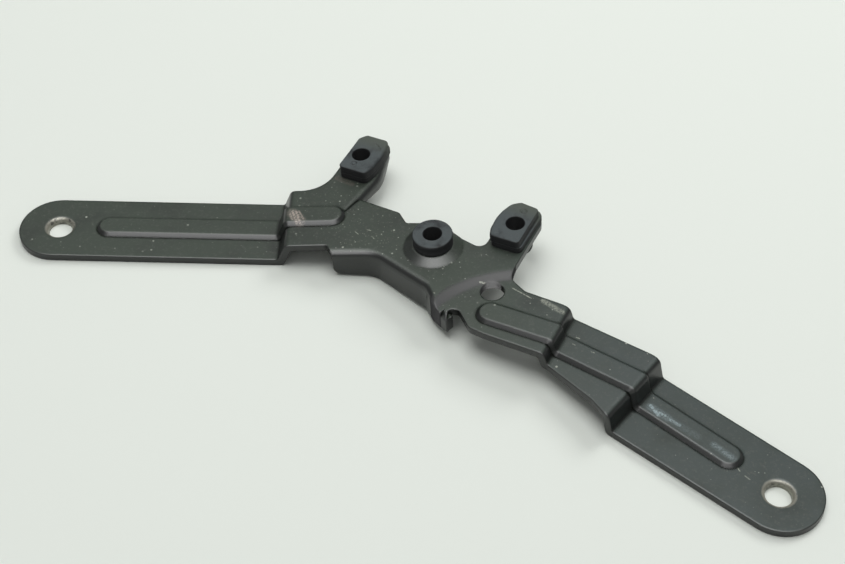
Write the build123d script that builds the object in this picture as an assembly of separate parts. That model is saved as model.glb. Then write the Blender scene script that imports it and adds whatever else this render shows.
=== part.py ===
"""Speedometer bracket of a motorcycle: one pressed steel sheet with three rubber mounts.

Two flat arms lie in one plane and bolt to the motorcycle. Between them the sheet is stepped up, leans a few
degrees, and carries the instrument on two eared rubber pads and a round rubber grommet. Millimetres, +Z up.
Z = 0 is the underside of both arms and the axis of the left arm's bolt hole is X = Y = 0. The left arm runs
along X, the right arm forward and to the right. The plan places below are measured from the centre grommet,
and the finished pieces are moved from there to the bolt hole at the end.
"""
from build123d import *
import math
import os

# The sheet and its bends
sheet = 2.3
bend_inside = 1.0
bend_outside = 2.0

# The deck: the raised middle of the bracket, which leans so that it rises towards +X
deck_height = 11.2
deck_lean = 4.0

# The two arms, which lie flat in one plane
arm_width = 23.0
arm_hole_dia = 7.0
arm_hole_rim = 1.3
left_tip_margin = 12.0
right_tip_margin = 11.7
left_arm_y = 13.1
left_hole_x = -112.0
right_arm_angle = -38.2
right_arm_offset = -4.1
right_hole_along = 118.2

# The risers, each given by where its top and its foot lie along its own heading
left_riser_top = -43.3
left_riser_foot = -45.6
left_joint = -41.0
step_one_drop = 2.4
step_two_angle = -25.6
step_two_drop = 3.9
step_two_top = 44.3
step_two_run = 1.2
step_two_joint = 38.0
step_three_top = 72.4
step_three_slope = 0.2
riser_split = 4.7

# The curved step from the deck down to the first plate
curve_centre = (23.3, -40.7)
curve_radius = 30.8
curve_run = 2.4
curve_top_round = 1.4
curve_foot_round = 2.0

# The turned-down edges
front_flange_depth = 9.8
front_flange_left_depth = 8.3
front_flange_end_depth = 8.7
front_flange_corner = 2.5
ear_flange_depth = 4.1
ear_flange_end_depth = 2.6
ear_flange_bulge_round = 14.0
flange_round = 2.2

# The ears, which both point the same way, and their pads
ear_angle = 65.0
ear_left_hole = (-22.5, 34.8)
ear_right_hole = (23.6, 3.8)
ear_hole_dia = 7.4
ear_left_side = 6.2
ear_wall_root = (-13.3, -6.2)
ear_wall_middle = (-2.0, -7.4)
ear_wall_tip = (10.5, -3.95)
ear_free_side = 5.1
ear_end = 10.5
ear_round = 4.5
pad_height = 4.8
pad_lower_height = 2.0
pad_straight_side = 4.1
pad_bulge_side = 6.3
pad_bulge_end = 5.3
pad_front = 7.1
pad_tip = 8.6
pad_tip_cut = 2.0
pad_inset = 0.6
pad_skirt = 0.7
pad_skirt_tip = 1.2
pad_round = 1.4
pad_lower_round = 2.2
pad_bore = 5.4
pad_chamfer = 1.1
pad_foot_dia = 9.8
pad_foot_height = 2.0
pad_foot_flat = 3.2
fit_gap = 0.1

# The pressed ring and its grommet
ring_base_radius = 8.7
ring_top_radius = 6.0
ring_height = 1.5
grommet_hole_dia = 8.4
grommet_dia = 11.7
grommet_head = 3.8
grommet_bore = 5.4
grommet_edge = 0.6
grommet_foot_dia = 10.0
grommet_foot_height = 2.2

# The plain hole in the first plate
plain_hole_at = (16.8, -15.9)
plain_hole_dia = 6.8

# The stiffening beads
bead_height = 1.2
bead_slope = 1.1
bead_width = 8.1
left_bead_y = 13.5
hollow_inset = 1.3
left_bead_start = -100.9
left_bead_end = -26.4
right_bead_start = (12.6, -22.6)
right_bead_bend_one = (34.5, -32.6)
right_bead_bend_two = (57.5, -48.0)
right_bead_along = 106.0
right_bead_offset = -2.7
bead_turn = 12.0

far = 200.0
lean = math.radians(deck_lean)
deck = Location((0, 0, deck_height)) * Rot(0, -deck_lean, 0)


def along_heading(angle, along, left):
    """Plan point at a distance along a heading and to the left of it, from the origin."""
    turn = math.radians(angle)
    x = along * math.cos(turn) - left * math.sin(turn)
    y = along * math.sin(turn) + left * math.cos(turn)
    return (x, y)


def beside(point, angle, along, left):
    """Plan point at a distance along a heading and to the left of it, from another plan point."""
    step = along_heading(angle, along, left)
    return (point[0] + step[0], point[1] + step[1])


def in_deck(x, y, z):
    """Plan place, in the deck's own leaning frame, of a point of the part."""
    return (x * math.cos(lean) + (z - deck_height) * math.sin(lean), y)


def rounded_line(points, radii, close):
    """Edges of a line of straight runs, open or closed, whose corners are rounded one by one."""
    count = len(points)
    starts = []
    ends = []
    arcs = []
    for index in range(count):
        here = Vector(*points[index])
        inner = close or 0 < index < count - 1
        if not inner or radii[index] == 0:
            starts.append(here)
            ends.append(here)
            arcs.append(None)
            continue
        back = (Vector(*points[index - 1]) - here).normalized()
        ahead = (Vector(*points[(index + 1) % count]) - here).normalized()
        half = math.acos(max(-1.0, min(1.0, back.dot(ahead)))) / 2
        cut = radii[index] / math.tan(half)
        middle = here + (back + ahead).normalized() * (radii[index] / math.sin(half) - radii[index])
        starts.append(here + back * cut)
        ends.append(here + ahead * cut)
        arcs.append(ThreePointArc(here + back * cut, middle, here + ahead * cut))
    edges = []
    for index in range(count):
        if arcs[index] is not None:
            edges.append(arcs[index])
        if index < count - 1 or close:
            edges.append(Line(ends[index], starts[(index + 1) % count]))
    return edges


def prism(points, radii, low, high):
    """Upright block between two heights on a closed outline whose corners are rounded one by one."""
    face = make_face(rounded_line(points, radii, True))
    return extrude(Pos(0, 0, low) * face, high - low)


def shifted_line(points, distance):
    """The corners of an open line of straight runs, moved to its left by a distance."""
    moved = []
    last = len(points) - 1
    for index in range(last + 1):
        before = points[max(index - 1, 0)]
        here = points[index]
        after = points[min(index + 1, last)]
        into = math.atan2(here[1] - before[1], here[0] - before[0])
        out = math.atan2(after[1] - here[1], after[0] - here[0])
        if index == 0:
            into = out
        if index == last:
            out = into
        half = (out - into) / 2
        side = into + half + math.pi / 2
        length = distance / math.cos(half)
        moved.append((here[0] + length * math.cos(side), here[1] + length * math.sin(side)))
    return moved


def folded(points, low, high, width):
    """Sheet folded along a line of straight runs in the XZ plane, between two heights over that line.

    It is centred on Y. Each bend is rounded more on its outer side than on its inner one.
    """
    top_radii = [0.0]
    under_radii = [0.0]
    for before, here, after in zip(points, points[1:], points[2:]):
        into = math.atan2(here[1] - before[1], here[0] - before[0])
        out = math.atan2(after[1] - here[1], after[0] - here[0])
        top_radii.append(bend_inside if out > into else bend_outside)
        under_radii.append(bend_outside if out > into else bend_inside)
    top = shifted_line(points, high)
    under = shifted_line(points, low)
    outline = top + under[::-1]
    radii = top_radii + [0.0, 0.0] + under_radii[:0:-1] + [0.0]
    face = make_face(rounded_line(outline, radii, True))
    return extrude(Plane.XZ * face, width / 2, both=True)


def turned(shape, angle, left):
    """Places a shape made along +X on a heading, at a distance to the left of the origin."""
    place = along_heading(angle, 0, left)
    return Pos(place[0], place[1], 0) * Rot(0, 0, angle) * shape


def stadium(start, end, width, low, high):
    """Upright block with round ends, whose tips lie at two plan points."""
    first = Vector(*start)
    last = Vector(*end)
    run = last - first
    middle = (first + last) * 0.5
    angle = math.degrees(math.atan2(run.Y, run.X))
    slot = SlotCenterToCenter(run.length - width, width)
    return Pos(middle.X, middle.Y, low) * Rot(0, 0, angle) * extrude(slot, high - low)


def edges_on(shape, line, height):
    """The edges of a shape that follow a plan line at one height."""
    guide = Wire(line).moved(Location((0, 0, height)))
    picked = ShapeList()
    for edge in shape.edges():
        spots = (edge @ 0.02, edge @ 0.5, edge @ 0.98)
        if all(guide.distance_to(spot) < 0.01 for spot in spots):
            picked.append(edge)
    return picked


# Plan outline of the deck and the first plate, in the deck's own frame
front_path = [(-29.5, -1.9), (-17.5, -2.2), (-2.2, -15.2), (0.0, -20.5), (3.9, -25.3)]
front_radii = [0.0, 8.0, 5.0, 4.0, 0.0]
notch = [(4.5, -22.0), (7.4, -22.4), (10.2, -28.9)]
notch_radii = [1.4, 1.9, 3.0]
plate_front = [(14.2, -31.3), (31.0, -39.3), (42.8, -51.6)]
plate_back = [(59.6, -36.6), (36.0, -21.2), (26.0, -16.2)]
deck_back = [(14.2, -1.7), (5.8, 4.4), (3.4, 9.3), (-8.2, 9.7), (-10.4, 14.1)]
left_back = left_arm_y + arm_width / 2
left_front = left_arm_y - arm_width / 2


def between(start, end, share):
    """Point part of the way along a straight run."""
    return (start[0] + share * (end[0] - start[0]), start[1] + share * (end[1] - start[1]))


def at_joint(start, end):
    """Where a straight run of the outline crosses the line that joins the first plate to its step."""
    turn = math.radians(step_two_angle)
    first = start[0] * math.cos(turn) + start[1] * math.sin(turn)
    last = end[0] * math.cos(turn) + end[1] * math.sin(turn)
    return between(start, end, (step_two_joint - first) / (last - first))


joint_front = at_joint(plate_front[0], plate_front[1])
joint_back = at_joint(plate_back[1], plate_back[2])
right_ear = [
    beside(ear_right_hole, ear_angle, -14.4, -ear_free_side),
    beside(ear_right_hole, ear_angle, ear_end, -ear_free_side),
    beside(ear_right_hole, ear_angle, ear_end, ear_left_side),
]
left_ear = [
    beside(ear_left_hole, ear_angle, *ear_wall_root),
    beside(ear_left_hole, ear_angle, *ear_wall_middle),
    beside(ear_left_hole, ear_angle, *ear_wall_tip),
    beside(ear_left_hole, ear_angle, ear_end, ear_left_side),
    (-33.9, left_back),
]
outline = [(left_joint, left_front), (-31.0, left_front)]
outline_radii = [0.0, 0.8]
outline += front_path + notch
outline_radii += front_radii + notch_radii
outline += [plate_front[0], joint_front, joint_back, plate_back[2]]
outline_radii += [5.0, 0.0, 0.0, 4.0]
outline += right_ear + deck_back
outline_radii += [1.2, ear_round, ear_round, 2.5, 2.0, 4.0, 1.2, 2.0]
outline += left_ear + [(left_joint, left_back)]
outline_radii += [0.0, ear_flange_bulge_round, 2.5, ear_round, 10.5, 0.0]

# The turned-down walls, whose outer faces are the outline itself
front_inner = shifted_line(front_path, sheet)
front_wall_outline = front_path + front_inner[::-1]
front_wall_radii = front_radii + [0.0, 4.0 - sheet, 5.0 + sheet, 8.0 + sheet, 0.0]
ear_path = [left_ear[2], left_ear[1], left_ear[0]]
ear_inner = shifted_line(ear_path, -sheet)
ear_wall_outline = ear_path + ear_inner[::-1]
ear_wall_radii = [0.0, ear_flange_bulge_round, 0.0, 0.0, ear_flange_bulge_round - sheet, 0.0]


def front_envelope(level):
    """Block that holds everything behind the front wall's outer face, rounded where the wall bends down."""
    first = between(front_path[1], front_path[0], 2.3)
    last = between(front_path[3], front_path[4], 3.3)
    path = [first] + front_path[1:4] + [last, (60.0, -90.0)]
    radii = front_radii[:4] + [0.0, 0.0]
    corners = path + [(120.0, -90.0), (120.0, 90.0), (first[0], 90.0)]
    block = prism(corners, radii + [0.0, 0.0, 0.0], -30.0, level)
    bend = edges_on(block, rounded_line(path[:5], radii[:5], False), level)
    return fillet(bend, flange_round)


def ear_envelope(level):
    """Block that holds everything behind the left ear's wall, rounded where the wall bends down."""
    path = [between(ear_path[1], ear_path[0], 5.0)] + ear_path[1:]
    corners = path + [(40.0, 100.0), (120.0, 100.0), (120.0, -90.0), (-120.0, -90.0), (-120.0, 100.0)]
    corners += [(path[0][0] - 5.0, 100.0)]
    radii = [0.0, ear_flange_bulge_round, 0.0]
    block = prism(corners, radii + [0.0] * 6, -30.0, level)
    bend = edges_on(block, rounded_line(path, radii, False), level)
    return fillet(bend, flange_round)


def front_wall(level):
    """The turned-down front wall, deepest in its middle, with a rounded lower corner at its left end."""
    left_x = front_path[0][0]
    right_x = front_path[-1][0]
    side = [(left_x, 5.0), (left_x, -front_flange_left_depth), (-17.0, 0.3 - front_flange_depth)]
    side += [(-4.0, -front_flange_depth), (right_x, -front_flange_end_depth)]
    side += [(right_x + 9.0, -5.0), (right_x + 9.0, 5.0)]
    radii = [0.0, front_flange_corner, 12.0, 8.0, 0.0, 0.0, 0.0]
    profile = extrude(Plane.XZ * make_face(rounded_line(side, radii, True)), 60, both=True)
    return prism(front_wall_outline, front_wall_radii, -20.0, level - sheet / 2) & profile


def ear_wall(level):
    """The turned-down wall along the left ear, which gets shallower towards the ear's tip."""
    side = [(-17.0, 5.0), (-17.0, -ear_flange_end_depth), (-4.0, -ear_flange_depth), (3.0, -ear_flange_depth)]
    side += [(ear_end, -ear_flange_end_depth), (ear_end, 5.0)]
    radii = [0.0, 0.0, 8.0, 8.0, 0.0, 0.0]
    profile = extrude(Plane.XZ * make_face(rounded_line(side, radii, True)), 60, both=True)
    profile = Pos(ear_left_hole[0], ear_left_hole[1], level) * Rot(0, 0, ear_angle) * profile
    wall = prism(ear_wall_outline, ear_wall_radii, -20.0, level - sheet / 2) & profile
    return wall & prism(outline, outline_radii, -20.0, level)


def walled_plate(level):
    """Flat plate on the whole outline at one level, with its turned-down walls and their rounded bends."""
    plate = prism(outline, outline_radii, level - sheet, level) + ear_wall(level) + front_wall(level)
    return plate & front_envelope(level) & ear_envelope(level)


def round_tool(radius):
    """Upright round block about the centre of the curved step."""
    return Pos(curve_centre[0], curve_centre[1], 0) * Cylinder(radius, 60)


# The curved step: the same sheet, lowered between two circles about one centre
ring_in = curve_radius - curve_run - 1.2
ring_out = curve_radius + 2.8
step_line = [(ring_in, -step_one_drop), (curve_radius - curve_run, -step_one_drop)]
step_line += [(curve_radius, 0.0), (ring_out, 0.0)]
step_under = shifted_line(step_line, -sheet)
step_under[0] = (ring_in, -step_one_drop - sheet)
step_under[3] = (ring_out, -sheet)
step_radii = [0.0, curve_foot_round, curve_top_round, 0.0, 0.0, curve_foot_round, curve_top_round, 0.0]
step_face = make_face(rounded_line(step_line + step_under[::-1], step_radii, True))
step_ring = revolve(Plane.XZ * step_face, Axis.Z)
step_ring = Pos(curve_centre[0], curve_centre[1], 0) * step_ring
high_wall = front_wall(0.0)
low_wall = front_wall(-step_one_drop)
wall_split = curve_radius - 0.3 * curve_run
step_band = round_tool(ring_out) - round_tool(ring_in)
step_wall = (high_wall - round_tool(wall_split)) + (low_wall & round_tool(wall_split))
step_sheet = step_ring & prism(outline, outline_radii, -30, 5)
step_part = (step_sheet + (step_wall & step_band)) & front_envelope(0.0)

upper = walled_plate(0.0) - round_tool(ring_out)
lower = walled_plate(-step_one_drop) & round_tool(ring_in)
middle = upper + step_part + lower


def left_sheet(low, high, width):
    """The sheet along the left arm, up its riser and onto the deck, between two heights over its top face."""
    riser_level = deck_height + left_riser_top * math.tan(lean)
    end_level = deck_height - 10.0 * math.tan(lean)
    line = [(left_hole_x - left_tip_margin, sheet), (left_riser_foot, sheet)]
    line += [(left_riser_top, riser_level), (-10.0, end_level)]
    return Pos(0, left_arm_y, 0) * folded(line, low, high, width)


def right_sheet(low, high):
    """The sheet from the first plate down both steps to the right arm, wide, in the deck's own frame."""
    plate_two = -step_one_drop - step_two_drop
    line = [(8.0, -step_one_drop), (step_two_top, -step_one_drop)]
    line += [(step_two_top + step_two_run, plate_two), (110.0, plate_two)]
    first = turned(folded(line, low, high, far), step_two_angle, 0)
    joint = step_three_top - 6.0
    first = first & turned(Pos(joint - far, 0, 0) * Box(2 * far, 2 * far, far), right_arm_angle, 0)
    drop = 20.0
    line = [(joint, plate_two), (step_three_top, plate_two)]
    line += [(step_three_top + step_three_slope * drop, plate_two - drop)]
    second = deck * turned(folded(line, low, high, far), right_arm_angle, 0)
    turn = math.radians(right_arm_angle)
    side_x = math.cos(turn) * math.cos(lean) - step_three_slope * math.sin(lean)
    side_y = math.sin(turn)
    side_z = math.cos(turn) * math.sin(lean) + step_three_slope * math.cos(lean)
    flat = math.hypot(side_x, side_y)
    top = along_heading(right_arm_angle, step_three_top, 0)
    top_x = top[0] * math.cos(lean) - plate_two * math.sin(lean)
    top_z = deck_height + top[0] * math.sin(lean) + plate_two * math.cos(lean)
    reach = top_x * side_x + top[1] * side_y + top_z * side_z
    foot = (reach - sheet * side_z) / flat
    line = [(foot - drop * side_z / flat, sheet + drop), (foot, sheet), (foot + 90.0, sheet)]
    third = turned(folded(line, low, high, far), math.degrees(math.atan2(side_y, side_x)), 0)
    split = Pos(0, 0, riser_split + far) * Box(4 * far, 4 * far, 2 * far)
    return first + deck.inverse() * ((second & split) + (third - split))


def bead_outline(path, width):
    """Closed outline with round ends about an open line of straight runs."""
    sides = shifted_line(path, -width / 2) + shifted_line(path, width / 2)[::-1]
    end = 0.49 * width
    turns = [bead_turn] * (len(path) - 2)
    return sides, [end] + turns + [end, end] + turns + [end]


def top_rim(shape):
    """The edges round the upward faces of a bead, where they meet its upright sides."""
    edges = []
    for face in shape.faces():
        if face.normal_at(face.center()).Z > 0.1:
            edges += list(face.edges())
    return ShapeList([e for e in edges if sum(e.is_same(other) for other in edges) == 1])


# The left arm, with a round tip
arm_round = 0.99 * arm_width / 2
arm_end = left_hole_x - left_tip_margin
arm_outline = [(arm_end, left_front), (0.0, left_front), (0.0, left_back), (arm_end, left_back)]
arm_radii = [arm_round, 0.0, 0.0, arm_round]
left_side = Pos(left_joint - far, 0, 0) * Box(2 * far, 2 * far, far)
left_arm = left_sheet(-sheet, 0, arm_width) & prism(arm_outline, arm_radii, -5, 25)
left_arm = (deck.inverse() * left_arm) & left_side

# Both plates beyond the first step and the right arm, trimmed by one outline
half_arm = arm_width / 2
arm_places = [(72.0, -half_arm), (right_hole_along + right_tip_margin, -half_arm)]
arm_places += [(right_hole_along + right_tip_margin, half_arm)]
arm_corners = []
for along, left in arm_places:
    place = along_heading(right_arm_angle, along, right_arm_offset + left)
    arm_corners.append(in_deck(place[0], place[1], sheet))
right_outline = [joint_front, plate_front[1], plate_front[2]] + arm_corners
right_outline += [plate_back[0], plate_back[1], joint_back]
right_radii = [0.0, 1.5, 4.0, 4.0, arm_round, arm_round, 5.0, 2.0, 0.0]
right_side = prism(right_outline, right_radii, -40, 20)
right_arm = right_sheet(-sheet, 0) & right_side

body = middle + left_arm + right_arm

# The beads: the sheet raised along a line, and pressed hollow beneath
arm_bead = along_heading(right_arm_angle, right_bead_along, right_bead_offset)
right_path = [right_bead_start, right_bead_bend_one, right_bead_bend_two]
right_path += [in_deck(arm_bead[0], arm_bead[1], sheet)]
bead_sides, bead_radii = bead_outline(right_path, bead_width)
right_bead = right_sheet(-sheet / 2, bead_height) & prism(bead_sides, bead_radii, -40, 20)
left_bead = left_sheet(-sheet / 2, bead_height, arm_width)
left_crest = [(left_bead_start, left_bead_y), (left_bead_end, left_bead_y)]
left_bead = left_bead & stadium(left_crest[0], left_crest[1], bead_width, -5, 25)
hollow_width = bead_width - 2 * hollow_inset
hollow_path = [between(right_path[0], right_path[1], hollow_inset / 24.0)] + right_path[1:3]
hollow_path += [between(right_path[3], right_path[2], hollow_inset / 30.0)]
hollow_sides, hollow_radii = bead_outline(hollow_path, hollow_width)
right_hollow = right_sheet(-sheet - 3, -sheet + bead_height) & prism(hollow_sides, hollow_radii, -40, 20)
left_hollow = left_sheet(-sheet - 3, -sheet + bead_height, arm_width)
hollow_start = (left_bead_start + hollow_inset, left_bead_y)
hollow_end = (left_bead_end - hollow_inset, left_bead_y)
left_hollow = left_hollow & stadium(hollow_start, hollow_end, hollow_width, -5, 25)
right_bead = chamfer(top_rim(right_bead), bead_slope)
left_bead = chamfer(top_rim(left_bead), bead_slope)
left_bead = deck.inverse() * left_bead
left_hollow = deck.inverse() * left_hollow


def ring_cone(base_radius, top_radius, base):
    """Low cone under the centre grommet."""
    return Pos(0, 0, base + ring_height / 2) * Cone(base_radius, top_radius, ring_height)


def bore(place, dia):
    """Round tool through the sheet at a plan point."""
    return Pos(place[0], place[1], 0) * Cylinder(dia / 2, 60)


ring = ring_cone(ring_base_radius, ring_top_radius, 0.0) & prism(outline, outline_radii, -5, 5)
ring_hollow = ring_cone(ring_base_radius - 1.0, ring_top_radius - 0.8, -sheet)

body = body + ring + right_bead + left_bead
body = body - right_hollow - left_hollow - ring_hollow
body = body - bore((0, 0), grommet_hole_dia) - bore(plain_hole_at, plain_hole_dia)
body = body - bore(ear_left_hole, ear_hole_dia) - bore(ear_right_hole, ear_hole_dia)
bracket = deck * body

# The bolt holes at the ends of the arms, rounded over at the top
arm_holes = [(left_hole_x, left_arm_y), along_heading(right_arm_angle, right_hole_along, right_arm_offset)]
for place in arm_holes:
    bracket = bracket - bore(place, arm_hole_dia)
rims = ShapeList()
for edge in bracket.edges().filter_by(GeomType.CIRCLE):
    centre = edge.arc_center
    if abs(edge.radius - arm_hole_dia / 2) < 0.01 and abs(centre.Z - sheet) < 0.01 and abs(centre.X) > 60:
        rims.append(edge)
bracket = fillet(rims, arm_hole_rim)


def pad_tier(front, tip, straight, bulge, corner, low, high):
    """One tier of an ear pad: straight on its left, bulged on its right, with its tip corner cut off."""
    bulge_end = bulge - (pad_bulge_side - pad_bulge_end)
    widest = ((tip - front) / 2, -bulge)
    corners = [(-front, straight), (tip - pad_tip_cut, straight), (tip, straight - pad_tip_cut), (tip, -bulge_end)]
    corners += [(-front, -bulge_end)]
    sides = [Line(corners[0], corners[1]), Line(corners[1], corners[2]), Line(corners[2], corners[3])]
    sides += [ThreePointArc(corners[3], widest, corners[4]), Line(corners[4], corners[0])]
    tier = extrude(Pos(0, 0, low) * make_face(sides), high - low)
    return fillet(tier.edges().filter_by(Axis.Z), corner)


def rubber_pad(place, flip):
    """Eared pad seated on the deck: two tiers over it, a neck through it and a foot below it."""
    upper = (pad_front, pad_tip, pad_straight_side, pad_bulge_side)
    upper_tier = pad_tier(*upper, pad_round, pad_lower_height, pad_height)
    top = upper_tier.faces().sort_by(Axis.Z)[-1]
    side = top.edges().sort_by(Axis.Y)[0]
    upper_tier = chamfer(side, pad_chamfer)
    lower = (pad_front - pad_inset, pad_tip + pad_skirt_tip, pad_straight_side + pad_skirt)
    lower += (pad_bulge_side - pad_inset / 2,)
    tiers = pad_tier(*lower, pad_lower_round, 0.0, pad_lower_height) + upper_tier
    if flip:
        tiers = mirror(tiers, Plane.XZ)
    neck = Pos(0, 0, -sheet / 2) * Cylinder(ear_hole_dia / 2 - fit_gap, sheet)
    foot = Pos(0, 0, -sheet - pad_foot_height / 2) * Cylinder(pad_foot_dia / 2, pad_foot_height)
    foot = foot & (Pos(0, far / 2 - pad_foot_flat, 0) * Box(far, far, far))
    pad = tiers + neck + foot - Cylinder(pad_bore / 2, 40)
    return deck * Pos(place[0], place[1], 0) * Rot(0, 0, ear_angle) * pad


def rubber_grommet():
    """Round grommet seated on the pressed ring: a head over it, a neck through it and a foot below it."""
    under = ring_height - sheet
    head = Pos(0, 0, ring_height + grommet_head / 2) * Cylinder(grommet_dia / 2, grommet_head)
    rim = head.edges().group_by(Axis.Z)[-1]
    head = chamfer(rim, grommet_edge)
    neck = Pos(0, 0, under + sheet / 2) * Cylinder(grommet_hole_dia / 2 - fit_gap, sheet)
    foot = Pos(0, 0, under - grommet_foot_height / 2) * Cylinder(grommet_foot_dia / 2, grommet_foot_height)
    return deck * (head + neck + foot - Cylinder(grommet_bore / 2, 40))


home = Pos(-left_hole_x, -left_arm_y, 0)
os.makedirs("parts", exist_ok=True)
export_step(home * bracket, "parts/bracket.step")
export_step(home * rubber_pad(ear_left_hole, False), "parts/ear_pad_left.step")
export_step(home * rubber_pad(ear_right_hole, True), "parts/ear_pad_right.step")
export_step(home * rubber_grommet(), "parts/centre_grommet.step")
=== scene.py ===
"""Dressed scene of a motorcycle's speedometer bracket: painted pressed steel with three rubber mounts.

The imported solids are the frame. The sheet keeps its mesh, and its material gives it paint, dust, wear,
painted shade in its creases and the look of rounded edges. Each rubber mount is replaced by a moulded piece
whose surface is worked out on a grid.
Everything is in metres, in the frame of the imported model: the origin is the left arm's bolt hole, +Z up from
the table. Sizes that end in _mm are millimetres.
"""

import logging
import math
from dataclasses import dataclass
from enum import Enum

import bpy
import numpy as np
from mathutils import Matrix, Vector


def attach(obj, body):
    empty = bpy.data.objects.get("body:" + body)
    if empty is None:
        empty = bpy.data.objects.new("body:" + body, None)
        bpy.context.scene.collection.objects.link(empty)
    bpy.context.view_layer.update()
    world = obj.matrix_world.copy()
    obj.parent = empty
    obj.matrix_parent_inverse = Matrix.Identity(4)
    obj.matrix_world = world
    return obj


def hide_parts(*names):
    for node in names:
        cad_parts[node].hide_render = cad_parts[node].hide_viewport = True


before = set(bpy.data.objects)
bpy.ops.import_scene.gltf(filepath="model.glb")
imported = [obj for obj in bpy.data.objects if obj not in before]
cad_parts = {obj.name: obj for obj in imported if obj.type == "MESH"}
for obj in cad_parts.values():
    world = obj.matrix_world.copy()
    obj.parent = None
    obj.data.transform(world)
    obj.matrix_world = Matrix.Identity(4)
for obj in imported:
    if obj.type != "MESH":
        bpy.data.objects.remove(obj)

LOG = logging.getLogger("bracket_scene")
MM = 0.001
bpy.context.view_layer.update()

Tree = bpy.types.NodeTree
Socket = bpy.types.NodeSocket
Lamp = bpy.types.Object


class Slot(Enum):
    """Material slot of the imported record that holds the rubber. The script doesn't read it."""

    RUBBER = "pad_rubber"


def linear(hex_colour: str, alpha: float = 1.0) -> tuple[float, float, float, float]:
    """Turns an sRGB hex colour into linear light.

    c_lin = c / 12.92 under 0.04045, and ((c + 0.055) / 1.055) ** 2.4 above it, for each channel.

    Args:
        hex_colour: Colour as "#rrggbb".
        alpha: Opacity from 0 to 1.

    Returns:
        Red, green, blue and alpha for a shader's colour socket.
    """
    code = hex_colour.lstrip("#")
    channels = np.array([int(code[i : i + 2], 16) for i in (0, 2, 4)]) / 255.0
    low = channels / 12.92
    high = ((channels + 0.055) / 1.055) ** 2.4
    red, green, blue = np.where(channels <= 0.04045, low, high)
    return float(red), float(green), float(blue), alpha


def add_node(
    tree: Tree,
    kind: str,
    values: dict[str | int, object] | None = None,
    links: dict[str | int, Socket] | None = None,
    **settings: object,
) -> bpy.types.Node:
    """Adds a node to a material with its settings, constants and links.

    Args:
        tree: The node tree that gets the node.
        kind: Blender's type name of the node.
        values: Constants by input name or number.
        links: Output sockets by the input name or number that they feed.
        **settings: The node's own properties, such as operation or noise_dimensions.

    Returns:
        The new node.
    """
    node = tree.nodes.new(kind)
    for name, value in settings.items():
        setattr(node, name, value)
    for key, value in (values or {}).items():
        node.inputs[key].default_value = value
    for key, socket in (links or {}).items():
        tree.links.new(socket, node.inputs[key])
    return node


def new_material(name: str) -> tuple[bpy.types.Material, Tree, bpy.types.Node]:
    """Starts a node material.

    Args:
        name: The material's name.

    Returns:
        The material, its node tree and its Principled shader.
    """
    made = bpy.data.materials.new(name)
    made.use_nodes = True
    return made, made.node_tree, made.node_tree.nodes["Principled BSDF"]


def ramp(tree: Tree, value: Socket, low: float, high: float, top: float = 1.0) -> Socket:
    """Smooth step: 0 below low, top above high, and a smooth rise between them.

    Args:
        tree: The material's node tree.
        value: The socket that is read.
        low: Where the rise starts. It may be the larger number, which turns the step round.
        high: Where the rise ends.
        top: The value after the rise.

    Returns:
        The step's output socket.
    """
    settings = {"From Min": low, "From Max": high, "To Min": 0.0, "To Max": top}
    return add_node(
        tree,
        "ShaderNodeMapRange",
        settings,
        {"Value": value},
        interpolation_type="SMOOTHSTEP",
    ).outputs["Result"]


def product(tree: Tree, first: Socket, second: Socket) -> Socket:
    """Product of two masks."""
    node = add_node(tree, "ShaderNodeMath", None, {0: first, 1: second}, operation="MULTIPLY")
    return node.outputs["Value"]


def largest(tree: Tree, first: Socket, second: Socket) -> Socket:
    """Larger one of two masks."""
    node = add_node(tree, "ShaderNodeMath", None, {0: first, 1: second}, operation="MAXIMUM")
    return node.outputs["Value"]


def tinted(tree: Tree, under: Socket, colour: str, mask: Socket) -> Socket:
    """Lays a colour over another one where a mask is white.

    Args:
        tree: The material's node tree.
        under: The colour below.
        colour: The sRGB hex colour laid over it.
        mask: How much of it shows, from 0 to 1.

    Returns:
        The mixed colour's socket.
    """
    mix = add_node(tree, "ShaderNodeMix", None, None, data_type="RGBA", clamp_factor=True)
    tree.links.new(mask, mix.inputs["Factor"])
    tree.links.new(under, mix.inputs["A"])
    mix.inputs["B"].default_value = linear(colour)
    return mix.outputs["Result"]


def grain(tree: Tree, place: Socket, size_mm: float, detail: float = 2.0, rough: float = 0.5) -> Socket:
    """Noise whose blobs are about size_mm across.

    Args:
        tree: The material's node tree.
        place: The point that is read.
        size_mm: Real size of a blob.
        detail: How many finer layers are added.
        rough: How strong the finer layers are.

    Returns:
        The noise's socket, about 0.5 on average.
    """
    settings = {"Scale": 1.0 / (size_mm * MM), "Detail": detail, "Roughness": rough}
    return add_node(tree, "ShaderNodeTexNoise", settings, {"Vector": place}).outputs["Fac"]


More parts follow.
